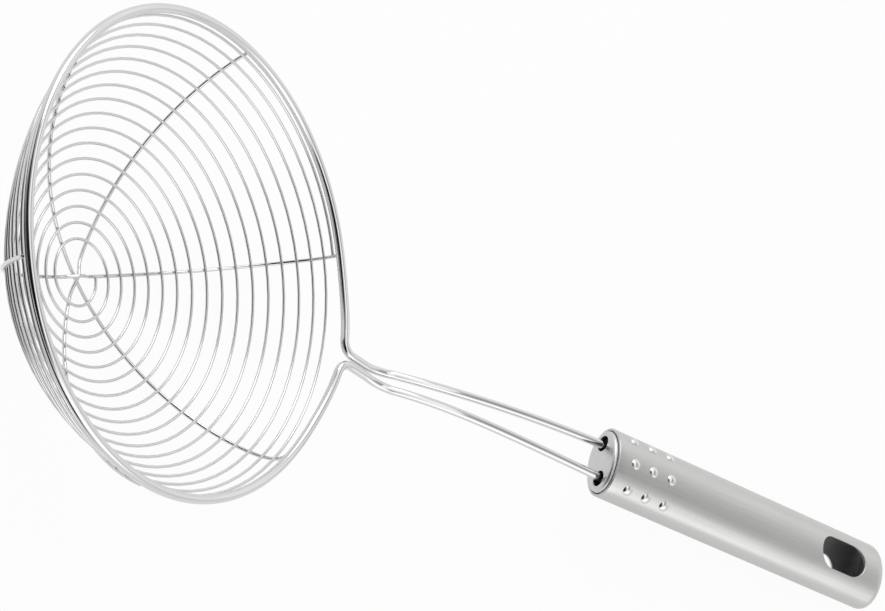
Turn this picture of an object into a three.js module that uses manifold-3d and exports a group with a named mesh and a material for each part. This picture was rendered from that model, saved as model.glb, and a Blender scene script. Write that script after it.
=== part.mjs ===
// Wire skimmer: a bowl-shaped spiral of thin wire, carried by three rib wires and a bent frame
// wire, on a hollow oval handle.
// Millimetres, +Z up. It lies as it does on a table: the underside of the basket and the rear end
// of the handle touch z = 0, and the handle points along +X.

import * as THREE from 'three';
import { mergeVertices } from 'three/addons/utils/BufferGeometryUtils.js';
import Module from 'manifold-3d';

const wasm = await Module();
wasm.setup();

// Wire diameters
const frameWire = 3.3;
const coilWire = 1.2;
const ribWire = 1.4;

// Clearances: between welded or seated pieces, between the two pinched wires, round a wire in its hole
const seat = 0.3;
const pinchGap = 0.4;
const holeClear = 1.35;

// Basket. Its own frame has the centre line of the rim in the plane z = 0 and the handle towards +X.
const rimRadius = 80;
const bowlDepth = 56;
const coilTurns = 17;
const coilStartRadius = 8.6;
const coilTuckAngle = 70;
const ribAngles = [29, 90, 146];
const ribCrossWidth = 4.2;

// The top of the bowl is drawn in towards the neck, and the rim hangs a little at its two sides. Both
// fade away down the bowl, by a power of the way from its bottom to its top.
const drawIn = 6.4;
const drawInSpread = 64;
const rimSag = 2.1;
const topFade = 18;

// The wall away from the handle is pressed in a little, most at this share of the way up.
const farPress = 2.3;
const farPressSpread = 36;
const farPressAt = 0.66;

// Neck: the rim rises to it, and its two ends are pinched together. The spreads, here and above, are
// angles about the bowl's axis.
const neckLift = 3.2;
const neckLiftSpread = 16.8;
const neckBend = 5;
const neckLength = 18.5;
const neckSlope = 7.8;

// Shafts, from the neck to the handle. The spacing is that at the mouth of the handle.
const kneeSlope = 42.6;
const kneeRound = 5.8;
const kneeSpread = 1.1;
const sweepStart = 23.6;
const sweepEnd = 39.9;
const shaftSpacing = 12.9;
const shaftSplay = 1.7;
const shaftInset = 12;

// Handle: an oval tube drawn closed at the rear
const handleReach = 173;
const handleLift = 53.7;
const handleRise = 23.7;
const tubeWidth = 27.2;
const tubeHeight = 19.2;
const tubeLength = 136;
const tubeWall = 1;
const shoulder = 4;
const lipRound = 0.35;
const capRise = 1.5;
const capSheet = 0.8;
const capRound = 1.5;
const capDepth = 6;
const holeShift = 0.55;

// Raised grip dots and the slot for hanging
const dotDiameter = 4;
const dotHeight = 0.6;
const dotSink = 0.45;
const dotFirst = 7.9;
const dotPitch = 8.6;
const dotColumns = 3;
const dotRowSpread = 9.8;
const dotOffset = -0.4;
const slotLength = 22.6;
const slotWidth = 12.8;
const slotFromEnd = 22.5;

// Facets
const wireSides = 10;
const rimSteps = 88;
const ribSides = 8;
const ribSteps = 44;
const coilSides = 6;
const coilSteps = 24;
const ovalSides = 48;

const rad = THREE.MathUtils.degToRad;
const vec = (x, y, z) => new THREE.Vector3(x, y, z);

// A path whose rings sit on its own points, close together in bends and far apart on straights.
class WirePath extends THREE.CatmullRomCurve3 {
  constructor(points) {
    super(points, false, 'centripetal');
  }
  getUtoTmapping(u) {
    return u;
  }
}

function circleShape(diameter, sides) {
  const points = [];
  for (let i = 0; i < sides; i += 1) {
    const a = (2 * Math.PI * i) / sides;
    points.push(new THREE.Vector2(Math.cos(a), Math.sin(a)).multiplyScalar(diameter / 2));
  }
  return new THREE.Shape(points);
}

function bentWire(points, diameter, sides) {
  return new THREE.ExtrudeGeometry(circleShape(diameter, sides), {
    steps: points.length - 1,
    extrudePath: new WirePath(points),
    bevelEnabled: false,
  });
}

function toSolid(geometry) {
  const bare = new THREE.BufferGeometry();
  const loose = geometry.index ? geometry.toNonIndexed() : geometry;
  bare.setAttribute('position', loose.getAttribute('position'));
  const merged = mergeVertices(bare, 1e-4);
  return new wasm.Manifold(
    new wasm.Mesh({
      numProp: 3,
      vertProperties: merged.getAttribute('position').array,
      triVerts: new Uint32Array(merged.index.array),
    }),
  );
}

function toGeometry(body) {
  const mesh = body.getMesh();
  const geometry = new THREE.BufferGeometry();
  geometry.setAttribute('position', new THREE.BufferAttribute(mesh.vertProperties, 3));
  geometry.setIndex(new THREE.BufferAttribute(mesh.triVerts, 1));
  geometry.computeVertexNormals();
  return geometry;
}

// The spiral lies on a sphere, whose top follows the rim. It passes through the bowl's lowest point and
// through the place under the rim wire where the last turn is welded to it.
const tuckDistance = frameWire / 2 + coilWire / 2 + seat;
const tuckRadius = rimRadius - tuckDistance * Math.cos(rad(coilTuckAngle));
const tuckDrop = tuckDistance * Math.sin(rad(coilTuckAngle));
const sphereHeight =
  (tuckRadius ** 2 + tuckDrop ** 2 - bowlDepth ** 2) / (2 * (bowlDepth - tuckDrop));
const coilSphere = sphereHeight + bowlDepth;
const coilFrom = Math.asin(coilStartRadius / coilSphere);
const coilTo = Math.atan2(tuckRadius, sphereHeight + tuckDrop);

// How much of a bump at azimuth 0, on the side of the handle, is left at another azimuth
function towardsNeck(azimuth, spread) {
  const away = Math.atan2(Math.sin(azimuth), Math.cos(azimuth));
  return Math.exp(-((away / rad(spread)) ** 2));
}

function onBowl(polar, azimuth) {
  const facing = polar < 0 ? azimuth + Math.PI : azimuth;
  const climbed = Math.abs(polar) / coilTo;
  const followed = climbed ** topFade;
  const drawn = drawIn * towardsNeck(facing, drawInSpread) * followed;
  const hung = rimSag * Math.sin(facing) ** 2 * followed;
  const most = Math.min(climbed, 1) ** (Math.log(0.5) / Math.log(farPressAt));
  const pressed = farPress * towardsNeck(facing + Math.PI, farPressSpread) * Math.sin(Math.PI * most);
  const out = (coilSphere - pressed) * Math.sin(Math.abs(polar)) - drawn;
  return vec(
    out * Math.cos(facing),
    out * Math.sin(facing),
    sphereHeight - (coilSphere - pressed) * Math.cos(polar) - hung,
  );
}

function onRim(azimuth) {
  const out = rimRadius - drawIn * towardsNeck(azimuth, drawInSpread);
  return vec(
    out * Math.cos(azimuth),
    out * Math.sin(azimuth),
    neckLift * towardsNeck(azimuth, neckLiftSpread) - rimSag * Math.sin(azimuth) ** 2,
  );
}

// Basket spiral: one wire with an even pitch along the bowl, wound clockwise from the free inner
// end, which lies on a rib, to the rim.
const coilCount = Math.round(coilTurns * coilSteps);
const coilPath = [];
for (let i = 0; i <= coilCount; i += 1) {
  const polar = coilFrom + ((coilTo - coilFrom) * i) / coilCount;
  const azimuth = rad(ribAngles[0]) - (2 * Math.PI * i) / coilSteps;
  coilPath.push(onBowl(polar, azimuth));
}

function coilGeometry() {
  const centre = vec(0, 0, sphereHeight);
  const corners = [];
  const faces = [];
  coilPath.forEach((point, i) => {
    const before = coilPath[Math.max(i - 1, 0)];
    const after = coilPath[Math.min(i + 1, coilCount)];
    const along = after.clone().sub(before).normalize();
    const across = point.clone().sub(centre).cross(along).normalize();
    const outward = along.clone().cross(across);
    for (let k = 0; k < coilSides; k += 1) {
      const a = (2 * Math.PI * k) / coilSides;
      const corner = point.clone();
      corner.addScaledVector(across, (coilWire / 2) * Math.cos(a));
      corner.addScaledVector(outward, (coilWire / 2) * Math.sin(a));
      corners.push(corner.x, corner.y, corner.z);
    }
  });
  for (let i = 0; i < coilCount; i += 1) {
    for (let k = 0; k < coilSides; k += 1) {
      const a = i * coilSides + k;
      const b = i * coilSides + ((k + 1) % coilSides);
      faces.push(a, b, b + coilSides, a, b + coilSides, a + coilSides);
    }
  }
  const last = coilCount * coilSides;
  for (let k = 1; k < coilSides - 1; k += 1) {
    faces.push(0, k + 1, k);
    faces.push(last, last + k, last + k + 1);
  }
  const geometry = new THREE.BufferGeometry();
  geometry.setAttribute('position', new THREE.Float32BufferAttribute(corners, 3));
  geometry.setIndex(faces);
  geometry.computeVertexNormals();
  return geometry;
}

// The least gap between two turns, measured on points of the centre line half a turn or more apart.
let leastGap = Infinity;
for (let i = 0; i <= coilCount; i += 1) {
  for (let j = i + coilSteps / 2; j <= coilCount; j += 1) {
    leastGap = Math.min(leastGap, coilPath[i].distanceTo(coilPath[j]) - coilWire);
  }
}
console.log('basket_spiral: least gap to itself ' + leastGap.toFixed(2) + ' mm');

// Ribs: each runs from rim to rim under the spiral. Where they cross, inside the first turn, they
// rise over one another.
const rimPolar = Math.atan2(rimRadius, sphereHeight);
const ribBelow = coilWire / 2 + seat + ribWire / 2;
const ribStop = frameWire / 2 + seat + ribWire / 2;

// A point at a distance under the bowl, square to it, on the way over its lowest point at an azimuth
function underBowl(polar, azimuth, below) {
  const along = onBowl(polar + 0.001, azimuth).sub(onBowl(polar - 0.001, azimuth)).normalize();
  const outward = vec(-Math.sin(azimuth), Math.cos(azimuth), 0).cross(along);
  return onBowl(polar, azimuth).addScaledVector(outward, below);
}

// How far up the bowl a rib may run before it meets the rim wire
function ribEnd(azimuth) {
  let clear = 0;
  let met = rimPolar;
  for (let i = 0; i < 40; i += 1) {
    const polar = (clear + met) / 2;
    if (underBowl(polar, azimuth, ribBelow).distanceTo(onRim(azimuth)) > ribStop) {
      clear = polar;
    } else {
      met = polar;
    }
  }
  return clear;
}

// The points of a rib lie closest where it bends most, at the crossing and under the rim.
function ribGeometry(index) {
  const azimuth = rad(ribAngles[index]);
  const near = ribEnd(azimuth);
  const far = ribEnd(azimuth + Math.PI);
  const points = [];
  for (let i = 0; i <= ribSteps; i += 1) {
    const u = (2 * i) / ribSteps - 1;
    const polar = (u < 0 ? -far : near) * Math.sin((Math.PI / 2) * Math.abs(u) ** 1.8);
    const fade = Math.exp(-(((coilSphere * polar) / ribCrossWidth) ** 2));
    const over = (ribAngles.length - 1 - index) * (ribWire + seat) * fade;
    points.push(underBowl(polar, azimuth, ribBelow - over));
  }
  return bentWire(points, ribWire, ribSides);
}

// Frame wire: both ends run out of the handle, meet at the neck and part again to form the rim.
const pinch = (frameWire + pinchGap) / 2;
const rimStart = Math.asin((pinch + neckBend) / (rimRadius - drawIn));

// One half is drawn on the +Y side, from its end inside the handle to the start of the rim.
function halfFrame() {
  const inwards = vec(Math.cos(rad(handleRise)), 0, Math.sin(rad(handleRise)));
  inwards.multiplyScalar(Math.cos(rad(shaftSplay))).add(vec(0, Math.sin(rad(shaftSplay)), 0));
  const mouth = vec(handleReach, shaftSpacing / 2, handleLift);
  const end = mouth.clone().addScaledVector(inwards, shaftInset);

  const start = onRim(rimStart);
  const startWay = onRim(rimStart + 0.001).sub(start);
  const corner = start.clone().addScaledVector(startWay, (pinch - start.y) / startWay.y);
  const neckWay = vec(Math.cos(rad(neckSlope)), 0, Math.sin(rad(neckSlope)));
  const neck = corner.clone().addScaledVector(neckWay, neckBend);
  const knee = corner.clone().addScaledVector(neckWay, neckLength);
  const kneeLow = knee.clone().addScaledVector(neckWay, -kneeRound);
  const kneeWay = vec(Math.cos(rad(kneeSlope)), 0, Math.sin(rad(kneeSlope)));
  knee.y += kneeSpread / 2;
  const kneeHigh = knee.clone().addScaledVector(kneeWay, kneeRound);
  kneeHigh.y += kneeSpread / 2;

  const sweep = new THREE.CubicBezierCurve3(
    mouth,
    mouth.clone().addScaledVector(inwards, -sweepEnd),
    kneeHigh.clone().addScaledVector(kneeWay, sweepStart),
    kneeHigh,
  );
  const kneeTurn = new THREE.QuadraticBezierCurve3(kneeHigh, knee, kneeLow);
  const neckTurn = new THREE.QuadraticBezierCurve3(neck, corner, start);
  return [
    end,
    ...sweep.getPoints(14),
    ...kneeTurn.getPoints(4).slice(1),
    ...neckTurn.getPoints(6),
  ];
}

function frameGeometry() {
  const half = halfFrame();
  const other = half.map((p) => vec(p.x, -p.y, p.z)).reverse();
  const rim = [];
  for (let i = 1; i < rimSteps; i += 1) {
    rim.push(onRim(rimStart + ((2 * Math.PI - 2 * rimStart) * i) / rimSteps));
  }
  return bentWire([...half, ...rim, ...other], frameWire, wireSides);
}

// Handle. Its own frame has the mouth of the tube at the origin and the axis of the tube along +X.
// An oval turning is a round one of radius 1 drawn out to the oval's two half widths.
function ovalTurning(profile, halfWidth, halfHeight) {
  const points = profile.map(([r, x]) => new THREE.Vector2(r, x));
  const geometry = new THREE.LatheGeometry(points, ovalSides);
  geometry.rotateZ(-Math.PI / 2);
  geometry.scale(1, halfWidth, halfHeight);
  return geometry;
}

function roundedEnd(inset, from, depth, steps) {
  const points = [];
  for (let i = 0; i <= steps; i += 1) {
    const a = (Math.PI * i) / (2 * steps);
    points.push([1 - inset * (1 - Math.cos(a)), from + depth * Math.sin(a)]);
  }
  return points;
}

function dotGeometry(x, y) {
  const halfWidth = tubeWidth / 2;
  const halfHeight = tubeHeight / 2;
  const z = halfHeight * Math.sqrt(1 - (y / halfWidth) ** 2);
  const outward = vec(0, y / halfWidth ** 2, z / halfHeight ** 2).normalize();
  const r = dotDiameter / 2;
  const profile = [new THREE.Vector2(0, -dotSink), new THREE.Vector2(r, -dotSink)];
  for (let i = 0; i <= 4; i += 1) {
    const a = (Math.PI * i) / 8;
    profile.push(new THREE.Vector2(r * Math.cos(a), dotHeight * Math.sin(a)));
  }
  profile[profile.length - 1].x = 0;
  const geometry = new THREE.LatheGeometry(profile, 14);
  geometry.applyQuaternion(new THREE.Quaternion().setFromUnitVectors(vec(0, 1, 0), outward));
  geometry.translate(x, y, z);
  return geometry;
}

function slotGeometry() {
  const r = slotWidth / 2;
  const run = slotLength / 2 - r;
  const shape = new THREE.Shape();
  shape.absarc(run, 0, r, -Math.PI / 2, Math.PI / 2);
  shape.absarc(-run, 0, r, Math.PI / 2, (3 * Math.PI) / 2);
  const geometry = new THREE.ExtrudeGeometry(shape, {
    depth: 2 * tubeHeight,
    bevelEnabled: false,
    curveSegments: 12,
  });
  geometry.translate(tubeLength - slotFromEnd, 0, -tubeHeight);
  return geometry;
}

function tubeGeometry() {
  const inset = shoulder / (tubeWidth / 2);
  const lip = lipRound / (tubeWidth / 2);
  const straight = tubeLength - shoulder;
  const outer = ovalTurning(
    [
      [0, 0],
      [1 - lip, 0],
      [1, lipRound],
      ...roundedEnd(inset, straight, shoulder, 6),
      [0, tubeLength],
    ],
    tubeWidth / 2,
    tubeHeight / 2,
  );
  const inner = ovalTurning(
    [
      [0, -1],
      [1, -1],
      ...roundedEnd(inset, straight, shoulder - tubeWall, 4),
      [0, tubeLength - tubeWall],
    ],
    tubeWidth / 2 - tubeWall,
    tubeHeight / 2 - tubeWall,
  );
  let body = toSolid(outer).subtract(toSolid(inner));
  for (let row = -1; row <= 1; row += 1) {
    for (let i = 0; i < dotColumns; i += 1) {
      const across = row * dotRowSpread + dotOffset;
      body = body.add(toSolid(dotGeometry(dotFirst + i * dotPitch, across)));
    }
  }
  return toGeometry(body.subtract(toSolid(slotGeometry())));
}

// Front cap: a drawn oval cup, pressed into the mouth, with a wide hole for each end of the frame wire.
// The holes are set a little further apart than the wires.
function capGeometry() {
  const halfWidth = tubeWidth / 2 - tubeWall - seat;
  const halfHeight = tubeHeight / 2 - tubeWall - seat;
  const sheet = capSheet / halfWidth;
  const edge = capRound - capRise;
  const inset = capRound / halfWidth;
  const round = roundedEnd(inset, 0, capRound, 4).map(([r, x]) => [r, edge - x]);
  const cup = ovalTurning(
    [
      [0, -capRise],
      ...round.reverse(),
      [1, capDepth],
      [1 - sheet, capDepth],
      [1 - sheet, edge],
      [1 - inset, capSheet - capRise],
      [0, capSheet - capRise],
    ],
    halfWidth,
    halfHeight,
  );
  let body = toSolid(cup);
  for (const side of [-1, 1]) {
    const hole = new THREE.CylinderGeometry(
      frameWire / 2 + holeClear,
      frameWire / 2 + holeClear,
      2 * capDepth,
      20,
    );
    hole.rotateZ(-Math.PI / 2);
    hole.translate(0, side * (shaftSpacing / 2 + holeShift), 0);
    body = body.subtract(toSolid(hole));
  }
  return toGeometry(body);
}

function steel(color, roughness) {
  return new THREE.MeshStandardMaterial({ color, metalness: 1, roughness });
}

function piece(name, geometry, material) {
  const mesh = new THREE.Mesh(geometry, material);
  mesh.name = name;
  return mesh;
}

const basket = new THREE.Group();
basket.add(piece('frame_wire', frameGeometry(), steel(0xd8d9da, 0.22)));
basket.add(piece('basket_spiral', coilGeometry(), steel(0xcfd0d2, 0.25)));
for (let i = 0; i < ribAngles.length; i += 1) {
  basket.add(piece('rib_wire_' + (i + 1), ribGeometry(i), steel(0xc4c5c7, 0.28)));
}

const handle = new THREE.Group();
handle.position.set(handleReach, 0, handleLift);
handle.rotation.y = -rad(handleRise);
handle.add(piece('handle_tube', tubeGeometry(), steel(0xb9bab8, 0.38)));
handle.add(piece('handle_front_cap', capGeometry(), steel(0xc6c7c6, 0.33)));

const lying = new THREE.Group();
lying.add(basket, handle);

// The lowest height of a group's corners when the skimmer is turned about Y by an angle.
function lowest(group, angle) {
  lying.rotation.y = angle;
  lying.updateMatrixWorld(true);
  return new THREE.Box3().setFromObject(group, true).min.z;
}

// It is leaned until the basket and the handle are equally low, then set down on z = 0.
let flat = 0;
let steep = Math.PI / 2;
for (let i = 0; i < 40; i += 1) {
  const middle = (flat + steep) / 2;
  if (lowest(handle, middle) > lowest(basket, middle)) {
    flat = middle;
  } else {
    steep = middle;
  }
}
lying.rotation.y = flat;
lying.updateMatrixWorld(true);
const box = new THREE.Box3().setFromObject(lying, true);
const middle = box.getCenter(vec(0, 0, 0));
lying.position.set(-middle.x, -middle.y, -box.min.z);

const skimmer = new THREE.Group();
skimmer.add(lying);

export default skimmer;
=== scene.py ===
# %% [markdown]
# A wire skimmer, lying on a pale table.
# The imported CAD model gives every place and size. This script dresses it: each wire is drawn again
# as a smooth round rod, the handle gets its rounded edges, and every surface a steel of its own.

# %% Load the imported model
import math

import bmesh
import bpy
import numpy as np
from mathutils import Matrix, Vector


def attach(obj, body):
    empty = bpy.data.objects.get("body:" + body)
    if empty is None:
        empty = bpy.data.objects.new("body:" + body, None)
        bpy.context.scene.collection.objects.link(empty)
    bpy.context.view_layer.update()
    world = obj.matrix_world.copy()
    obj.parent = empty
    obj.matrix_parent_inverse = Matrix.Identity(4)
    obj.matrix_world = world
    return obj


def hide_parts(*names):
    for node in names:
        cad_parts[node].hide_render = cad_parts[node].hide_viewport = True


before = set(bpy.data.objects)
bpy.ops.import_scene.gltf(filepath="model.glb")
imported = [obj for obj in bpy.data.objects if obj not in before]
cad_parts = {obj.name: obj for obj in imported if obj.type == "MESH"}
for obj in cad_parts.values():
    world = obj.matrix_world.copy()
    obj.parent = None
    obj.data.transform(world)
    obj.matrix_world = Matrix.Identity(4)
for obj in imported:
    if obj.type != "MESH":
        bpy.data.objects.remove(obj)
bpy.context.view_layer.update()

print("nodes:", sorted(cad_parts))

# %% [markdown]
# The basket and the handle each have a frame of their own, as on the drawing board.
# In the basket's frame the rim lies flat around the origin, and in the handle's frame the tube runs
# along X from its mouth. Two matrices lay them down on the table, so every piece can be drawn where
# its sums are simplest. Lengths are written in millimetres and become metres when a mesh is made.

# %% The two frames
MM = 0.001

lean = math.radians(29.2938)
rim_centre = Vector((-120.874, 0, 60.240))
basket_frame = Matrix.Translation(rim_centre * MM) @ Matrix.Rotation(lean, 4, "Y")

handle_reach = 173
handle_lift = 53.7
handle_rise = math.radians(23.7)
handle_frame = (
    basket_frame
    @ Matrix.Translation(Vector((handle_reach, 0, handle_lift)) * MM)
    @ Matrix.Rotation(-handle_rise, 4, "Y")
)
print("mouth of the handle at", [round(v, 4) for v in handle_frame.translation])

# %% [markdown]
# The camera looks down at the table from the basket's far side, and the picture is rolled.
# Three directions say this better than angles: where the picture's right and up point in the room,
# and, square to both, the way back to the camera. The focal length is in pixels of the picture.

# %% Camera
picture_right = Vector((0.862244, 0.160702, 0.480323)).normalized()
picture_up = Vector((-0.346785, 0.878498, 0.328606))
picture_up = (picture_up - picture_up.dot(picture_right) * picture_right).normalized()
towards_camera = picture_right.cross(picture_up)

camera_place = Vector((-0.286458, -0.289966, 0.611310))
sensor_width = 36
picture_width = 885
focal_length = 2000

camera_data = bpy.data.cameras.new("camera")
camera_data.sensor_fit = "HORIZONTAL"
camera_data.sensor_width = sensor_width
camera_data.lens = sensor_width * focal_length / picture_width
camera = bpy.data.objects.new("camera", camera_data)
turn_to_room = Matrix((picture_right, picture_up, towards_camera)).transposed()
camera.matrix_world = Matrix.LocRotScale(camera_place, turn_to_room, None)
bpy.context.scene.collection.objects.link(camera)
bpy.context.scene.camera = camera
print("lens", round(camera_data.lens, 2), "mm")

# %% [markdown]
# A material or a world is a tree of nodes, and building one by hand repeats the same few lines.
# Three small helpers take them up: one adds a node and sets its plain inputs, one does a sum, and
# one maps a range of values to another.

# %% Node helpers
def add_node(tree, kind, **inputs):
    node = tree.nodes.new(kind)
    for name, value in inputs.items():
        node.inputs[name.replace("_", " ")].default_value = value
    return node


def maths(tree, operation, first, second=0.0):
    node = tree.nodes.new("ShaderNodeMath")
    node.operation = operation
    for socket, value in zip(node.inputs, (first, second)):
        if isinstance(value, (int, float)):
            socket.default_value = value
        else:
            tree.links.new(value, socket)
    return node.outputs[0]


def ramp(tree, value, low, high, at_low, at_high, smooth=False):
    node = add_node(tree, "ShaderNodeMapRange")
    node.interpolation_type = "SMOOTHSTEP" if smooth else "LINEAR"
    for socket, number in zip(list(node.inputs)[1:5], (low, high, at_low, at_high)):
        socket.default_value = number
    tree.links.new(value, node.inputs["Value"])
    return node.outputs["Result"]


print("helpers: add_node, maths, ramp")

# %% [markdown]
# Polished wire shows nothing but its surroundings, so the surroundings are half of the material.
# A white tent lights steel evenly but leaves it flat. Photographers then put up black flags, whose
# reflections draw thin dark lines along each wire, and white panels for the bright ones. Here the
# world is a white dome, greyer overhead, with both kinds. Each is a soft round patch about one
# direction that multiplies the light there: a flag by less than 1, a panel by more. The strong
# flags stand around the camera and on the left, three weak ones towards the handle's end, and the
# panels low down on the right, before and behind.

# %% World: a white dome with flags and panels
world = bpy.data.worlds.new("white_tent")
bpy.context.scene.world = world
world.use_nodes = True
tent = world.node_tree
tent.nodes.clear()

looking = add_node(tent, "ShaderNodeTexCoord").outputs["Generated"]
height = add_node(tent, "ShaderNodeSeparateXYZ")
tent.links.new(looking, height.inputs[0])
at_horizon = 0.88
overhead = 0.52
low_sky = 0.25
high_sky = 0.85
level = ramp(tent, height.outputs["Z"], low_sky, high_sky, at_horizon, overhead)

# direction, degrees from it where the patch is full and where it ends, what it multiplies by
patches = [
    (Vector((-0.48, -0.42, 0.77)), 18, 33, 0.06),
    (Vector((-0.60, 0.06, 0.80)), 10, 22, 0.06),
    (Vector((-0.59, 0.38, 0.72)), 4, 11, 0.20),
    (Vector((-0.14, -0.34, 0.93)), 8, 19, 0.25),
    (Vector((-0.25, -0.64, 0.73)), 6, 18, 0.35),
    (Vector((-0.45, -0.75, 0.48)), 12, 26, 0.06),
    (Vector((-0.86, -0.28, 0.42)), 17, 34, 0.18),
    (Vector((0.46, -0.10, 0.88)), 6, 26, 0.80),
    (Vector((0.53, 0.41, 0.74)), 6, 18, 0.80),
    (Vector((0.46, -0.72, 0.52)), 8, 36, 1.80),
    (Vector((0.34, 0.75, 0.55)), 10, 36, 1.25),
    (Vector((0.95, 0.05, 0.20)), 10, 34, 0.85),
    (Vector((0.84, 0.27, 0.47)), 8, 30, 1.30),
    (Vector((0.08, -0.97, 0.20)), 10, 28, 1.40),
]
for direction, full, gone, factor in patches:
    nearness = add_node(tent, "ShaderNodeVectorMath")
    nearness.operation = "DOT_PRODUCT"
    tent.links.new(looking, nearness.inputs[0])
    nearness.inputs[1].default_value = direction.normalized()
    edge = math.cos(math.radians(gone))
    core = math.cos(math.radians(full))
    light = ramp(tent, nearness.outputs["Value"], edge, core, 1, factor, smooth=True)
    level = maths(tent, "MULTIPLY", level, light)

background = add_node(tent, "ShaderNodeBackground", Color=(1, 1, 1, 1))
tent.links.new(level, background.inputs["Strength"])
tent_out = add_node(tent, "ShaderNodeOutputWorld")
tent.links.new(background.outputs[0], tent_out.inputs["Surface"])
print("world with", len(patches), "patches")

# %% [markdown]
# A soft box behind the basket keeps the far sides of the wires bright and gives the table a soft
# shadow. A long one overhead shines in the tops of the basket's wires. It ends short of what the
# neck mirrors, so the handle still shows the greyer dome along its middle.

# %% Soft boxes
def soft_box(name, place, aim, width, height, power):
    data = bpy.data.lights.new(name, "AREA")
    data.shape = "RECTANGLE"
    data.size = width
    data.size_y = height
    data.energy = power
    lamp = bpy.data.objects.new(name, data)
    lamp.location = place
    lamp.rotation_euler = (Vector(aim) - Vector(place)).to_track_quat("-Z", "Y").to_euler()
    lamp.visible_camera = False
    bpy.context.scene.collection.objects.link(lamp)
    return lamp


back_box = soft_box(
    "back_box", place=(-0.25, 0.80, 0.80), aim=(0, 0, 0.03), width=0.7, height=0.6, power=3.0
)
top_box = soft_box(
    "top_box", place=(0.05, -0.05, 1.0), aim=(0.05, -0.05, 0), width=0.48, height=1.3, power=1.4
)
print("soft boxes:", back_box.name, top_box.name)

# %% [markdown]
# The table is a plain pale sheet, far larger than the picture. It lies a hair under the skimmer, so
# that the two never share a face.

# %% Table
table_mesh = bpy.data.meshes.new("table")
table_reach = 3.0
table_gap = 0.0002
corner_signs = ((-1, -1), (1, -1), (1, 1), (-1, 1))
table_corners = [(x * table_reach, y * table_reach, 0) for x, y in corner_signs]
table_mesh.from_pydata(table_corners, [], [(0, 1, 2, 3)])
table_top = bpy.data.objects.new("table", table_mesh)
table_top.location.z = -table_gap
bpy.context.scene.collection.objects.link(table_top)
print("table", 2 * table_reach, "m square")

# %% [markdown]
# The steel alone also sees a black card on the table, outside the picture at the lower left. It
# carries the dark line of the flags on along that side of the rim. Two soft ramps over the table
# give its shape: one starts some way out from the middle, the other ends it on the right.

# %% Black card
paper = bpy.data.materials.new("pale_table")
paper.use_nodes = True
sheet = paper.node_tree
sheet.nodes.clear()

card_way = (-0.6, -0.8, 0)
card_starts, card_full = 0.16, 0.32
card_side_full, card_side_ends = -0.20, -0.06
spot = add_node(sheet, "ShaderNodeNewGeometry").outputs["Position"]
nearer = add_node(sheet, "ShaderNodeVectorMath")
nearer.operation = "DOT_PRODUCT"
nearer.inputs[1].default_value = card_way
sheet.links.new(spot, nearer.inputs[0])
sideways = add_node(sheet, "ShaderNodeSeparateXYZ")
sheet.links.new(spot, sideways.inputs[0])
card = maths(
    sheet,
    "MULTIPLY",
    ramp(sheet, nearer.outputs["Value"], card_starts, card_full, 0, 1, smooth=True),
    ramp(sheet, sideways.outputs["X"], card_side_full, card_side_ends, 1, 0, smooth=True),
)
print("card from", card_starts, "m out")

# %% [markdown]
# To the camera the table shines white by itself for the greater part, and the rest is lit, so that
# it still takes the skimmer's soft shadow. In the steel the lit part counts for more, which keeps
# the dark of the shadow under each piece. The kind of ray tells the two apart.

# %% Pale table
lit = add_node(sheet, "ShaderNodeBsdfDiffuse", Color=(0.9, 0.9, 0.9, 1))
glow = add_node(sheet, "ShaderNodeEmission", Color=(1, 1, 1, 1))
glow_to_camera = 0.94
glow_in_steel = 0.65
rays = add_node(sheet, "ShaderNodeLightPath")
in_steel = rays.outputs["Is Glossy Ray"]
seen = maths(sheet, "MAXIMUM", rays.outputs["Is Camera Ray"], rays.outputs["Is Transmission Ray"])
seen = maths(sheet, "MULTIPLY", seen, glow_to_camera)
mirrored = maths(sheet, "MULTIPLY", in_steel, ramp(sheet, card, 0, 1, glow_in_steel, 1))
darkened = maths(sheet, "MULTIPLY", in_steel, card)
sheet.links.new(maths(sheet, "SUBTRACT", 1, darkened), glow.inputs["Strength"])
both = add_node(sheet, "ShaderNodeMixShader")
sheet.links.new(maths(sheet, "MAXIMUM", seen, mirrored), both.inputs["Fac"])
sheet.links.new(lit.outputs[0], both.inputs[1])
sheet.links.new(glow.outputs[0], both.inputs[2])
sheet_out = add_node(sheet, "ShaderNodeOutputMaterial")
sheet.links.new(both.outputs[0], sheet_out.inputs["Surface"])
table_mesh.materials.append(paper)
print("table is", paper.name)

# %% [markdown]
# Drawn wire and brushed tube carry the same marks: fine lines that run along the metal.
# Noise that is stretched in one direction gives them. Every steel here uses it, so it is a node
# group, with the number of lines per metre as its inputs. Its vector is a place on the metal in
# metres, with the first number along the lines.

# %% Node group: drawing lines
def new_group(name, inputs, outputs):
    group = bpy.data.node_groups.new(name, "ShaderNodeTree")
    for label, kind, value in inputs:
        socket = group.interface.new_socket(name=label, in_out="INPUT", socket_type=kind)
        if value is not None:
            socket.default_value = value
    for label, kind in outputs:
        group.interface.new_socket(name=label, in_out="OUTPUT", socket_type=kind)
    entry = group.nodes.new("NodeGroupInput")
    leaving = group.nodes.new("NodeGroupOutput")
    return group, entry.outputs, leaving.inputs


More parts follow.
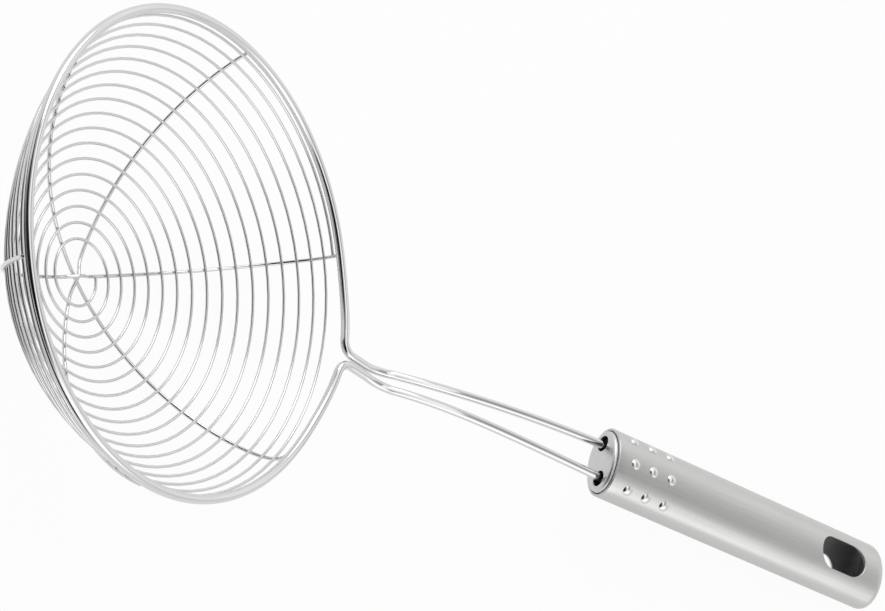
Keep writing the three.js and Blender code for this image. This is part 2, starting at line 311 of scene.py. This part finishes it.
drawing_lines, given, made = new_group(
    "drawing_lines",
    [
        ("Place", "NodeSocketVector", None),
        ("Along", "NodeSocketFloat", 40.0),
        ("Across", "NodeSocketFloat", 3000.0),
    ],
    [("Lines", "NodeSocketFloat"), ("Broad", "NodeSocketFloat")],
)
stretch = add_node(drawing_lines, "ShaderNodeCombineXYZ")
drawing_lines.links.new(given["Along"], stretch.inputs["X"])
drawing_lines.links.new(given["Across"], stretch.inputs["Y"])
drawing_lines.links.new(given["Across"], stretch.inputs["Z"])
stretched = add_node(drawing_lines, "ShaderNodeVectorMath")
stretched.operation = "MULTIPLY"
drawing_lines.links.new(given["Place"], stretched.inputs[0])
drawing_lines.links.new(stretch.outputs[0], stretched.inputs[1])
fine = add_node(drawing_lines, "ShaderNodeTexNoise", Scale=1.0, Detail=4.0, Roughness=0.65)
drawing_lines.links.new(stretched.outputs[0], fine.inputs["Vector"])
drawing_lines.links.new(fine.outputs["Fac"], made["Lines"])
broad = add_node(drawing_lines, "ShaderNodeTexNoise", Scale=0.18, Detail=2.0, Roughness=0.5)
drawing_lines.links.new(stretched.outputs[0], broad.inputs["Vector"])
drawing_lines.links.new(broad.outputs["Fac"], made["Broad"])
print("group", drawing_lines.name)

# %% [markdown]
# Handling leaves cloudy marks: a hand's grease and the last rinse make patches that shine a little
# less. A slow noise gives the clouds, and its finer octaves break up their edges.

# %% Node group: handling marks
handling_marks, given, made = new_group(
    "handling_marks",
    [("Place", "NodeSocketVector", None), ("Clouds", "NodeSocketFloat", 60.0)],
    [("Marks", "NodeSocketFloat")],
)
clouds = add_node(handling_marks, "ShaderNodeTexNoise", Detail=5.0, Roughness=0.6)
handling_marks.links.new(given["Place"], clouds.inputs["Vector"])
handling_marks.links.new(given["Clouds"], clouds.inputs["Scale"])
smudge_starts, smudge_full = 0.42, 0.68
smudges = ramp(handling_marks, clouds.outputs["Fac"], smudge_starts, smudge_full, 0, 1)
handling_marks.links.new(smudges, made["Marks"])
print("group", handling_marks.name)

# %% [markdown]
# All the steel here is the same alloy with different finishes: bright drawn wire, satin tube and
# smooth pressed sheet. One function builds them. The lines darken the colour a little, roughen the
# shine and press a very shallow relief, and the handling marks add to the roughness. On a wire the
# lines follow a map along it. On the handle they follow the tube, whose axis dips a little.
# Faces that the mesh marks as inside the handle are unpolished and dull; their darker grey is
# painted shade.

# %% Steel builder
handle_dip = lean - handle_rise
shiny_lines, rough_lines = 0.3, 0.7
relief_depth = 0.0001
marks_dull = 0.05
# painted shade: the inside faces' darker grey stands in for the shade in the tube's hollow
inside_shade_grey = 0.50
inside_rough = 0.6


def steel(name, colour, darker, rough, rougher, along, across, relief, clouds, wire):
    material = bpy.data.materials.new(name)
    material.use_nodes = True
    tree = material.node_tree
    tree.nodes.clear()
    in_room = add_node(tree, "ShaderNodeTexCoord").outputs["Object"]
    if wire:
        place = add_node(tree, "ShaderNodeUVMap")
        place.uv_map = "along_wire"
        where = place.outputs["UV"]
    else:
        place = add_node(tree, "ShaderNodeMapping", Rotation=(0, -handle_dip, 0))
        tree.links.new(in_room, place.inputs["Vector"])
        where = place.outputs["Vector"]
    lines = add_node(tree, "ShaderNodeGroup")
    lines.node_tree = drawing_lines
    lines.inputs["Along"].default_value = along
    lines.inputs["Across"].default_value = across
    tree.links.new(where, lines.inputs["Place"])
    marks = add_node(tree, "ShaderNodeGroup")
    marks.node_tree = handling_marks
    marks.inputs["Clouds"].default_value = clouds
    tree.links.new(in_room, marks.inputs["Place"])

    tint = add_node(tree, "ShaderNodeMix")
    tint.data_type = "RGBA"
    tint.inputs["A"].default_value = (*darker, 1)
    tint.inputs["B"].default_value = (*colour, 1)
    tree.links.new(lines.outputs["Lines"], tint.inputs["Factor"])
    shade = tint.outputs["Result"]
    shine = ramp(tree, lines.outputs["Broad"], shiny_lines, rough_lines, rough, rougher)
    dulled = maths(tree, "MULTIPLY", marks.outputs["Marks"], marks_dull)
    shine = maths(tree, "ADD", shine, dulled)

    # Painted shade: faces marked inside are mixed towards the darker grey, as if in the tube's
    # shade.
    if not wire:
        inside = add_node(tree, "ShaderNodeAttribute")
        inside.attribute_name = "inside"
        inside_shade_mix = add_node(tree, "ShaderNodeMix")
        inside_shade_mix.data_type = "RGBA"
        inside_shade_mix.inputs["B"].default_value = (inside_shade_grey, inside_shade_grey, inside_shade_grey, 1)
        tree.links.new(inside.outputs["Fac"], inside_shade_mix.inputs["Factor"])
        tree.links.new(shade, inside_shade_mix.inputs["A"])
        shade = inside_shade_mix.outputs["Result"]
        unpolished = maths(tree, "MULTIPLY", inside.outputs["Fac"], inside_rough)
        shine = maths(tree, "MAXIMUM", shine, unpolished)

    bump = add_node(tree, "ShaderNodeBump", Strength=relief, Distance=relief_depth)
    tree.links.new(lines.outputs["Lines"], bump.inputs["Height"])

    surface = add_node(tree, "ShaderNodeBsdfPrincipled", Metallic=1.0)
    tree.links.new(shade, surface.inputs["Base Color"])
    tree.links.new(shine, surface.inputs["Roughness"])
    tree.links.new(bump.outputs["Normal"], surface.inputs["Normal"])
    out = add_node(tree, "ShaderNodeOutputMaterial")
    tree.links.new(surface.outputs[0], out.inputs["Surface"])
    return material


print("handle dips by", round(math.degrees(handle_dip), 2), "degrees")

# %% [markdown]
# The wires are the shiniest. The tube is a satin steel, darker and rougher, and the dots on it are
# polished. The cap has no lines of its own, so its numbers along and across are the same.

# %% Steel finishes
bright_wire = steel(
    "bright_wire", colour=(0.78, 0.78, 0.79), darker=(0.66, 0.66, 0.67), rough=0.05, rougher=0.11,
    along=60, across=2500, relief=0.06, clouds=25, wire=True,
)
thin_wire = steel(
    "thin_wire", colour=(0.78, 0.78, 0.79), darker=(0.64, 0.64, 0.65), rough=0.05, rougher=0.11,
    along=60, across=3500, relief=0.06, clouds=25, wire=True,
)
satin_tube = steel(
    "satin_tube", colour=(0.67, 0.67, 0.66), darker=(0.54, 0.54, 0.53), rough=0.26, rougher=0.36,
    along=35, across=4000, relief=0.25, clouds=45, wire=False,
)
polished_dot = steel(
    "polished_dot", colour=(0.80, 0.80, 0.80), darker=(0.70, 0.70, 0.70), rough=0.17, rougher=0.22,
    along=35, across=4000, relief=0.08, clouds=45, wire=False,
)
pressed_sheet = steel(
    "pressed_sheet", colour=(0.74, 0.74, 0.74), darker=(0.62, 0.62, 0.62), rough=0.30, rougher=0.40,
    along=900, across=900, relief=0.15, clouds=80, wire=False,
)
finishes = (bright_wire, thin_wire, satin_tube, polished_dot, pressed_sheet)
print("finishes:", [finish.name for finish in finishes])

# %% [markdown]
# Two helpers serve every piece. One lays a mesh down in its frame and shows it, and the other
# brings arrows to length 1.

# %% Piece helpers
def show(name, mesh, place):
    mesh.transform(place)
    thing = bpy.data.objects.new(name, mesh)
    bpy.context.scene.collection.objects.link(thing)
    return thing


def unit(rows):
    return rows / np.linalg.norm(rows, axis=-1, keepdims=True)


print("helpers: show, unit")

# %% [markdown]
# A wire is a circle swept along a path. Blender's curve bevel could do it, but a mesh of our own
# also gets a map along the wire, which the drawing lines follow, and ends that are eased as a
# cropped wire's are. The circle's first spoke is carried from point to point without twisting.

# %% Swept wire
end_ease = 0.3
end_steps = 3
wire_crease = math.radians(50)
any_way = (0.31, 0.52, 0.79)


def swept_wire(name, path, diameter, sides, material):
    path = np.array(path, float) * MM
    radius = diameter / 2 * MM
    ease = end_ease * radius
    along = unit(np.gradient(path, axis=0))
    path[0] += along[0] * ease
    path[-1] -= along[-1] * ease
    spoke = np.cross(along[0], any_way)
    spokes = []
    for way in along:
        spoke = unit(spoke - way * spoke.dot(way))
        spokes.append(spoke)
    spokes = np.array(spokes)
    others = np.cross(along, spokes)

    rings = [(path[i], i, radius) for i in range(len(path))]
    for k in range(1, end_steps + 1):
        a = math.pi / 2 * k / end_steps
        narrowed = radius - ease * (1 - math.cos(a))
        rings.insert(0, (path[0] - along[0] * ease * math.sin(a), 0, narrowed))
        rings.append((path[-1] + along[-1] * ease * math.sin(a), len(path) - 1, narrowed))

    turn = 2 * math.pi * np.arange(sides) / sides
    points = []
    for centre, i, r in rings:
        spread = np.outer(np.cos(turn), spokes[i]) + np.outer(np.sin(turn), others[i])
        points.append(centre + r * spread)
    points = np.concatenate(points)
    steps = np.linalg.norm(np.diff([centre for centre, i, r in rings], axis=0), axis=1)
    length = np.concatenate([[0], np.cumsum(steps)])
    girth = 2 * math.pi * radius / sides

    faces = []
    map_places = []
    for i in range(len(rings) - 1):
        for k in range(sides):
            n = (k + 1) % sides
            faces.append((i * sides + k, i * sides + n, (i + 1) * sides + n, (i + 1) * sides + k))
            map_places += [length[i], k * girth, length[i], (k + 1) * girth]
            map_places += [length[i + 1], (k + 1) * girth, length[i + 1], k * girth]
    last = (len(rings) - 1) * sides
    faces.append(tuple(range(sides - 1, -1, -1)))
    faces.append(tuple(range(last, last + sides)))
    for end, order in ((0, range(sides - 1, -1, -1)), (-1, range(sides))):
        for k in order:
            map_places += [length[end], k * girth]

    mesh = bpy.data.meshes.new(name)
    mesh.from_pydata(points.tolist(), [], faces)
    mesh.uv_layers.new(name="along_wire").data.foreach_set("uv", map_places)
    mesh.polygons.foreach_set("use_smooth", [True] * len(faces))
    mesh.set_sharp_from_angle(angle=wire_crease)
    mesh.materials.append(material)
    wire = show(name, mesh, basket_frame)
    print(name, "length", round(float(length[-1]), 3), "m,", len(faces), "faces")
    return wire


print("helper: swept_wire")

# %% [markdown]
# The basket's sizes are the CAD source's own. The spiral is tucked under the rim wire, a small gap
# away, and that place, the rim and the depth settle the sphere that the bowl is part of.

# %% The bowl's sizes
frame_wire = 3.3
coil_wire = 1.2
rib_wire = 1.4
weld_gap = 0.3

# The CAD wires have a few flat sides. A round wire that fits between them is a little thinner.
frame_round = 3.14
coil_round = 1.04
rib_round = 1.29

rim_radius = 80
bowl_depth = 56
coil_turns = 17
coil_start_radius = 8.6
coil_tuck = math.radians(70)
rib_angles = np.radians((29, 90, 146))

draw_in = 6.4
draw_in_spread = math.radians(64)
rim_sag = 2.1
top_fade = 18
far_press = 2.3
far_press_spread = math.radians(36)
far_press_at = 0.66
far_press_power = math.log(0.5) / math.log(far_press_at)
neck_lift = 3.2
neck_lift_spread = math.radians(16.8)

tuck = frame_wire / 2 + coil_wire / 2 + weld_gap
tuck_radius = rim_radius - tuck * math.cos(coil_tuck)
tuck_drop = tuck * math.sin(coil_tuck)
sphere_height = (tuck_radius**2 + tuck_drop**2 - bowl_depth**2) / (2 * (bowl_depth - tuck_drop))
coil_sphere = sphere_height + bowl_depth
coil_from = math.asin(coil_start_radius / coil_sphere)
coil_to = math.atan2(tuck_radius, sphere_height + tuck_drop)
print("bowl of a sphere of radius", round(coil_sphere, 2), "mm")

# %% [markdown]
# On that sphere the bowl's top is drawn in towards the neck and hangs a little at the two sides, as
# the rim does, and both fade away quickly further down. The wall away from the handle is pressed
# in a little. Every wire of the basket takes its place from these sums.

# %% The bowl's surface
def towards_neck(azimuth, spread):
    away = (azimuth + math.pi) % (2 * math.pi) - math.pi
    return np.exp(-((away / spread) ** 2))


def on_bowl(polar, azimuth):
    facing = np.where(polar < 0, azimuth + math.pi, azimuth)
    climbed = np.abs(polar) / coil_to
    followed = climbed**top_fade
    drawn = draw_in * towards_neck(facing, draw_in_spread) * followed
    hung = rim_sag * np.sin(facing) ** 2 * followed
    most = np.minimum(climbed, 1) ** far_press_power
    pressed = far_press * towards_neck(facing + math.pi, far_press_spread) * np.sin(math.pi * most)
    out = (coil_sphere - pressed) * np.sin(np.abs(polar)) - drawn
    low = sphere_height - (coil_sphere - pressed) * np.cos(polar) - hung
    return np.stack([out * np.cos(facing), out * np.sin(facing), low], axis=-1)


def on_rim(azimuth):
    out = rim_radius - draw_in * towards_neck(azimuth, draw_in_spread)
    up = neck_lift * towards_neck(azimuth, neck_lift_spread) - rim_sag * np.sin(azimuth) ** 2
    return np.stack([out * np.cos(azimuth), out * np.sin(azimuth), up], axis=-1)


print("far end of the rim at", [round(float(v), 2) for v in on_rim(math.pi)], "mm")

# %% [markdown]
# The spiral lies on the bowl with an even pitch, from a free end near the bottom to the underside
# of the rim. These are the same sums as in the CAD source, taken at finer steps, so the smooth
# spiral passes through every corner of the coarse one.

# %% The spiral
steps_per_turn = 72
coil_steps = coil_turns * steps_per_turn
share = np.arange(coil_steps + 1) / coil_steps
climb = coil_from + (coil_to - coil_from) * share
spiral_path = on_bowl(climb, rib_angles[0] - 2 * math.pi * coil_turns * share)
spiral = swept_wire("wound_spiral", spiral_path, coil_round, sides=12, material=thin_wire)
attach(spiral, "root")
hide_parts("basket_spiral")

# %% [markdown]
# Three ribs carry the spiral from below and are welded to each turn. A spot weld presses one wire a
# little way into the other, so here the ribs sit that much closer than in CAD, where the pieces
# keep a gap. Inside the first turn the ribs climb over one another. Each runs up the bowl until it
# meets the rim wire, and halving an interval finds where that is.

# %% The ribs
rib_cross_width = 4.2
weld_sink = 0.2
rib_steps = 220
rib_crowding = 1.8
halvings = 40
nudge = 0.001

rib_below = coil_wire / 2 + weld_gap + rib_wire / 2
rib_stop = frame_wire / 2 + weld_gap + rib_wire / 2
rim_polar = math.atan2(rim_radius, sphere_height)


def under_bowl(polar, azimuth, below):
    along = unit(on_bowl(polar + nudge, azimuth) - on_bowl(polar - nudge, azimuth))
    outward = np.cross((-math.sin(azimuth), math.cos(azimuth), 0), along)
    return on_bowl(polar, azimuth) + outward * np.reshape(below, (-1, 1))


def rib_end(azimuth):
    clear = 0
    met = rim_polar
    for _ in range(halvings):
        polar = (clear + met) / 2
        tip = under_bowl(np.array([polar]), azimuth, rib_below)[0]
        if np.linalg.norm(tip - on_rim(azimuth)) > rib_stop:
            clear = polar
        else:
            met = polar
    return clear


for i, azimuth in enumerate(rib_angles):
    u = np.linspace(-1, 1, rib_steps + 1)
    reach_up = np.where(u < 0, -rib_end(azimuth + math.pi), rib_end(azimuth))
    polar = reach_up * np.sin(math.pi / 2 * np.abs(u) ** rib_crowding)
    fade = np.exp(-((coil_sphere * polar / rib_cross_width) ** 2))
    over = (len(rib_angles) - 1 - i) * (rib_wire + weld_gap) * fade
    rib_path = under_bowl(polar, azimuth, rib_below - weld_gap - weld_sink - over)
    name = f"carrying_rib_{i + 1}"
    rib = swept_wire(name, rib_path, rib_round, sides=14, material=thin_wire)
    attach(rib, "root")
    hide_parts(f"rib_wire_{i + 1}")

# %% [markdown]
# The frame is one thick wire. Both ends start inside the handle, run down to the neck, where they
# are pinched side by side, and part again into the rim. Each bend is a Bézier curve drawn into its
# corner, and the second half mirrors the first.

# %% The frame wire
pinch_gap = 0.4
neck_bend = 5
neck_length = 18.5
neck_slope = math.radians(7.8)
knee_slope = math.radians(42.6)
knee_round = 5.8
knee_spread = 1.1
sweep_start = 23.6
sweep_end = 39.9
shaft_spacing = 12.9
shaft_splay = math.radians(1.7)
shaft_inset = 12

# points along each stretch
straight_points = 8
sweep_points = 70
knee_points = 16
bend_points = 20
rim_points = 320


def bezier(points, count):
    t = np.linspace(0, 1, count)[:, None]
    points = [np.array(p, float) for p in points]
    while len(points) > 1:
        points = [a * (1 - t) + b * t for a, b in zip(points, points[1:])]
    return points[0]


def slope(angle):
    return np.array([math.cos(angle), 0, math.sin(angle)])


pinch = (frame_wire + pinch_gap) / 2
rim_start = math.asin((pinch + neck_bend) / (rim_radius - draw_in))
start = on_rim(rim_start)
start_way = on_rim(rim_start + nudge) - start
corner = start + start_way * (pinch - start[1]) / start_way[1]
neck = corner + slope(neck_slope) * neck_bend
knee = corner + slope(neck_slope) * neck_length
knee_low = knee - slope(neck_slope) * knee_round
knee = knee + np.array([0, knee_spread / 2, 0])
knee_high = knee + slope(knee_slope) * knee_round + np.array([0, knee_spread / 2, 0])
inwards = slope(handle_rise) * math.cos(shaft_splay) + np.array([0, math.sin(shaft_splay), 0])
mouth = np.array([handle_reach, shaft_spacing / 2, handle_lift])
wire_end = mouth + inwards * shaft_inset
sweep = [mouth, mouth - inwards * sweep_end, knee_high + slope(knee_slope) * sweep_start, knee_high]

half = np.concatenate(
    [
        np.linspace(wire_end, mouth, straight_points)[:-1],
        bezier(sweep, sweep_points),
        bezier([knee_high, knee, knee_low], knee_points)[1:],
        np.linspace(knee_low, neck, straight_points)[1:-1],
        bezier([neck, corner, start], bend_points),
    ]
)
rim = on_rim(np.linspace(rim_start, 2 * math.pi - rim_start, rim_points))[1:-1]
frame_path = np.concatenate([half, rim, (half * (1, -1, 1))[::-1]])
bent_frame = swept_wire("bent_frame", frame_path, frame_round, sides=24, material=bright_wire)
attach(bent_frame, "root")
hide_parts("frame_wire")

# %% [markdown]
# The handle's pieces are sheet metal, and each is drawn as a closed skin: rings of points, with
# strips of faces from ring to ring. Cutting the slot with a boolean would be shorter, but would
# leave slivers along its edge. Points on the inner side carry the mark that the steel reads.

# %% Skin helpers
skin_crease = math.radians(40)


class Skin:
    def __init__(self):
        self.points = []
        self.faces = []
        self.inside = []

    def add(self, points, inside=0.0):
        first = len(self.points)
        self.points += [tuple(p) for p in points]
        self.inside += [inside] * (len(self.points) - first)
        return list(range(first, len(self.points)))

    def strip(self, a, b):
        for k in range(len(a)):
            n = (k + 1) % len(a)
            self.faces.append((a[k], a[n], b[n], b[k]))

    def close(self, ring, centre):
        middle = self.add([centre], self.inside[ring[0]])[0]
        for k in range(len(ring)):
            self.faces.append((ring[k], ring[(k + 1) % len(ring)], middle))

    def make(self, name, material, place):
        mesh = bpy.data.meshes.new(name)
        mesh.from_pydata([tuple(c * MM for c in p) for p in self.points], [], self.faces)
        work = bmesh.new()
        work.from_mesh(mesh)
        bmesh.ops.recalc_face_normals(work, faces=work.faces)
        work.to_mesh(mesh)
        work.free()
        mesh.attributes.new("inside", "FLOAT", "POINT").data.foreach_set("value", self.inside)
        mesh.polygons.foreach_set("use_smooth", [True] * len(mesh.polygons))
        mesh.set_sharp_from_angle(angle=skin_crease)
        mesh.materials.append(material)
        print(name, len(mesh.polygons), "faces")
        return show(name, mesh, place)


print("helper: Skin")

# %% [markdown]
# The handle is an oval tube. Its skin is a stack of oval rings, outside and inside, with a window
# left open above and below for the hanging slot. In each window the faces run in rings from the
# window's border to the slot's round-ended outline. That keeps the mesh in clean strips and leaves
# room for the eased edge that catches the light. The outer skin lies a hair inside, as the CAD's
# flat-sided oval does between corners.

# %% The tube's sizes
tube_width = 27.2
tube_height = 19.2
tube_length = 136
tube_wall = 1
shoulder = 4
lip_round = 0.35
skin_in = 0.03
slot_length = 22.6
slot_width = 12.8
slot_from_end = 22.5
slot_edge = 0.45
slot_steps = 8
slot_crowding = 1.6
ring_sides = 96
ring_spacing = 4
window_sides = 14
window_steps = 16
window_reach = 16
slot_middle = tube_length - slot_from_end
window_from = slot_middle - window_reach
window_to = slot_middle + window_reach
shoulder_angles = np.radians(np.arange(0, 91, 7.5))
edge_angles = np.radians((0, 22.5, 45, 67.5, 90))
end_rings = (0.66, 0.33)


def oval_ring(x, share, half_width, half_height):
    a = 2 * math.pi * np.arange(ring_sides) / ring_sides
    across = share * half_width * np.sin(a)
    return np.stack([np.full(ring_sides, x), across, share * half_height * np.cos(a)], axis=-1)


print("windows for the slot from", window_from, "to", window_to, "mm")

# %% [markdown]
# Both skins are made alike: rings from the mouth to the rounded shoulder at the rear, a flat end,
# and the borders of the two windows.

# %% Tube skins
def shoulder_stations(depth):
    inset = shoulder / (tube_width / 2)
    return [
        (tube_length - shoulder + depth * math.sin(a), 1 - inset * (1 - math.cos(a)))
        for a in shoulder_angles
    ]


def tube_skin(skin, half_width, half_height, front, depth, inside):
    stations = list(front)
    stations += [(x, 1) for x in np.arange(ring_spacing, window_from, ring_spacing)]
    stations += [(x, 1) for x in np.linspace(window_from, window_to, window_steps + 1)]
    stations += shoulder_stations(depth)
    rings = []
    for x, share in stations:
        rings.append(skin.add(oval_ring(x, share, half_width, half_height), inside))
    low = next(i for i, s in enumerate(stations) if s[0] >= window_from)
    high = low + window_steps
    for i in range(len(rings) - 1):
        for k in range(ring_sides):
            n = (k + 1) % ring_sides
            off_top = (k + window_sides) % ring_sides
            off_bottom = (k + window_sides - ring_sides // 2) % ring_sides
            if low <= i < high and min(off_top, off_bottom) < 2 * window_sides:
                continue
            skin.faces.append((rings[i][k], rings[i][n], rings[i + 1][n], rings[i + 1][k]))
    ring = rings[-1]
    for share in end_rings:
        flat = oval_ring(stations[-1][0], stations[-1][1] * share, half_width, half_height)
        inner = skin.add(flat, inside)
        skin.strip(ring, inner)
        ring = inner
    skin.close(ring, (stations[-1][0], 0, 0))

    borders = []
    for centre in (0, ring_sides // 2):
        sides = [(centre + k) % ring_sides for k in range(-window_sides, window_sides + 1)]
        border = [rings[i][sides[0]] for i in range(low, high + 1)]
        border += [rings[high][k] for k in sides[1:]]
        border += [rings[i][sides[-1]] for i in range(high - 1, low - 1, -1)]
        border += [rings[low][k] for k in sides[-2:0:-1]]
        borders.append(border)
    return rings[0], borders


print("helpers: shoulder_stations, tube_skin")

# %% [markdown]
# Then the slot is drawn into each window. Every point of the border looks for the nearest place on
# the slot's middle line and walks towards it in steps, until it stands on the slot's outline. On
# the outer skin a few last steps round the edge.

# %% Slot rings
def slot_rings(skin, border, half_width, half_height, up, edge, inside):
    slot_radius = slot_width / 2
    run = slot_length / 2 - slot_radius
    places = np.array([skin.points[i] for i in border])[:, :2]
    near = slot_middle + np.clip(places[:, 0] - slot_middle, -run, run)
    roots = np.stack([near, np.zeros(len(places))], axis=-1)
    reach_out = np.linalg.norm(places - roots, axis=1)
    ways = (places - roots) / reach_out[:, None]
    spare = reach_out - slot_radius - edge
    closing = (1 - np.arange(1, slot_steps + 1) / slot_steps) ** slot_crowding
    offsets = [(edge + spare * left, 0.0) for left in closing]
    if edge:
        for a in edge_angles[1:]:
            out = np.full(len(places), edge * (1 - math.sin(a)))
            offsets.append((out, edge * (1 - math.cos(a))))
    ring = border
    for out, drop in offsets:
        flat = roots + ways * (slot_radius + out)[:, None]
        z = up * (half_height * np.sqrt(1 - (flat[:, 1] / half_width) ** 2) - drop)
        inner = skin.add(np.column_stack([flat, z]), inside)
        skin.strip(ring, inner)
        ring = inner
    return ring


print("helper: slot_rings")

# %% [markdown]
# The lip at the mouth is rounded on the outside and joins the two skins there. At the slot a narrow
# wall joins them.

# %% Tube
tube = Skin()
lip = [
    (lip_round * (1 - math.sin(a)), 1 - lip_round / (tube_width / 2) * (1 - math.cos(a)))
    for a in edge_angles[::-1]
]
outer_size = (tube_width / 2 - skin_in, tube_height / 2 - skin_in)
inner_size = (tube_width / 2 - tube_wall, tube_height / 2 - tube_wall)
outer_lip, outer_windows = tube_skin(tube, *outer_size, lip, shoulder, 0)
inner_lip, inner_windows = tube_skin(tube, *inner_size, [(0, 1)], shoulder - tube_wall, 1)
tube.strip(outer_lip, inner_lip)
for outer_window, inner_window, up in zip(outer_windows, inner_windows, (1, -1)):
    outer_slot = slot_rings(tube, outer_window, *outer_size, up, slot_edge, 0)
    inner_slot = slot_rings(tube, inner_window, *inner_size, up, 0, 1)
    tube.strip(outer_slot, inner_slot)
grip = tube.make("grip_tube", satin_tube, handle_frame)
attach(grip, "root")
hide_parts("handle_tube")

# %% [markdown]
# Raised dots near the front give the thumb a hold. Each is a cap of a ball that stands on the
# curved skin, square to it. Thumbs have polished the dots, so they shine more than the tube.

# %% Grip dots
dot_diameter = 4
dot_height = 0.75
dot_sink = 0.35
dot_first = 7.9
dot_pitch = 8.6
dot_columns = 3
dot_row_spread = 9.8
dot_offset = -0.4
dot_sides = 32
dome_steps = 9
dome_top = 0.1

dots = Skin()
around = np.linspace(0, 2 * math.pi, dot_sides, endpoint=False)
circle = np.column_stack([np.cos(around), np.sin(around)])
ball = ((dot_diameter / 2) ** 2 + dot_height**2) / (2 * dot_height)
dot_slope = math.asin(dot_diameter / 2 / ball)
dome = [(dot_diameter / 2, -dot_sink)]
for a in np.linspace(dot_slope, dome_top * dot_slope, dome_steps):
    dome.append((ball * math.sin(a), ball * math.cos(a) - ball + dot_height))
for row in (-1, 0, 1):
    for column in range(dot_columns):
        y = row * dot_row_spread + dot_offset
        z = outer_size[1] * math.sqrt(1 - (y / outer_size[0]) ** 2)
        out = Vector((0, y / outer_size[0] ** 2, z / outer_size[1] ** 2)).normalized()
        foot = Vector((dot_first + column * dot_pitch, y, z))
        turned = out.to_track_quat("Z", "X").to_matrix()
        rings = []
        for r, h in dome:
            rings.append(dots.add([foot + turned @ Vector((r * c, r * s, h)) for c, s in circle]))
        for a, b in zip(rings, rings[1:]):
            dots.strip(a, b)
        dots.close(rings[-1], foot + turned @ Vector((0, 0, dot_height)))
        dots.close(rings[0], foot + turned @ Vector((0, 0, -dot_sink)))
thumb_dots = dots.make("thumb_dots", polished_dot, handle_frame)
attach(thumb_dots, "root")

# %% [markdown]
# A pressed cup closes the mouth. Its face stands a little proud of the tube's lip, its rim is
# rounded where the sheet was drawn over the die, and each shaft passes through a wide hole.
# First come the wall, from the face's outline round to its back, and the holes.

# %% Front cap
cap_rise = 1.5
cap_sheet = 0.8
cap_round = 1.5
cap_depth = 6
hole_clear = 1.35
hole_shift = 0.55
hole_ease = 0.2
hole_sides = 40

cap = Skin()
cap_half = (inner_size[0] - weld_gap, inner_size[1] - weld_gap)


def cap_ring(x, inset):
    share = 1 - inset / cap_half[0]
    return oval_ring(x, share, *cap_half)


def hole_ring(x, side, radius):
    a = np.linspace(0, 2 * math.pi, hole_sides, endpoint=False)
    across = side * (shaft_spacing / 2 + hole_shift) + radius * np.sin(a)
    return np.stack([np.full(hole_sides, x), across, radius * np.cos(a)], axis=-1)


wall = [
    (cap_round * (1 - math.sin(a)) - cap_rise, cap_round * (1 - math.cos(a)), 0)
    for a in np.radians((90, 75, 60, 45, 30, 15, 0))
]
wall += [(cap_depth, 0, 0), (cap_depth, cap_sheet, 1)]
wall += [(cap_round - cap_rise, cap_sheet, 1), (cap_sheet - cap_rise, cap_round, 1)]
cap_rings = [cap.add(cap_ring(x, inset), inside) for x, inset, inside in wall]
for a, b in zip(cap_rings, cap_rings[1:]):
    cap.strip(a, b)
hole = frame_wire / 2 + hole_clear
hole_fronts = []
hole_backs = []
for side in (-1, 1):
    steps = []
    for a in np.radians((0, 30, 60, 90)):
        deep = hole_ease * (1 - math.cos(a)) - cap_rise
        steps.append((deep, hole + hole_ease * (1 - math.sin(a)), 0))
    steps.append((cap_sheet - cap_rise, hole, 1))
    rings = [cap.add(hole_ring(x, side, radius), inside) for x, radius, inside in steps]
    for a, b in zip(rings, rings[1:]):
        cap.strip(a, b)
    hole_fronts.append(rings[0])
    hole_backs.append(rings[-1])
print("cap with", len(hole_fronts), "holes of", round(2 * hole, 2), "mm")

# %% [markdown]
# The face and its back are flat, so Blender may fill each between its outline and the holes in one
# go.

# %% Cap faces
def fill_flat(skin, loops):
    work = bmesh.new()
    numbers = {}
    edges = []
    for loop in loops:
        corners = [work.verts.new(skin.points[i]) for i in loop]
        numbers.update(zip(corners, loop))
        for k in range(len(loop)):
            edges.append(work.edges.new((corners[k], corners[(k + 1) % len(loop)])))
    bmesh.ops.triangle_fill(
        work, use_beauty=True, use_dissolve=False, edges=edges, normal=(1, 0, 0)
    )
    for face in work.faces:
        skin.faces.append(tuple(numbers[v] for v in face.verts))
    work.free()


fill_flat(cap, [cap_rings[0], *hole_fronts])
fill_flat(cap, [cap_rings[-1], *hole_backs])
mouth_cap = cap.make("mouth_cap", pressed_sheet, handle_frame)
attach(mouth_cap, "root")
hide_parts("handle_front_cap")

# %% [markdown]
# Last come the view settings. The dressed model has to stay inside the CAD model's box.

# %% Colours as written
bpy.context.scene.view_settings.view_transform = "Standard"
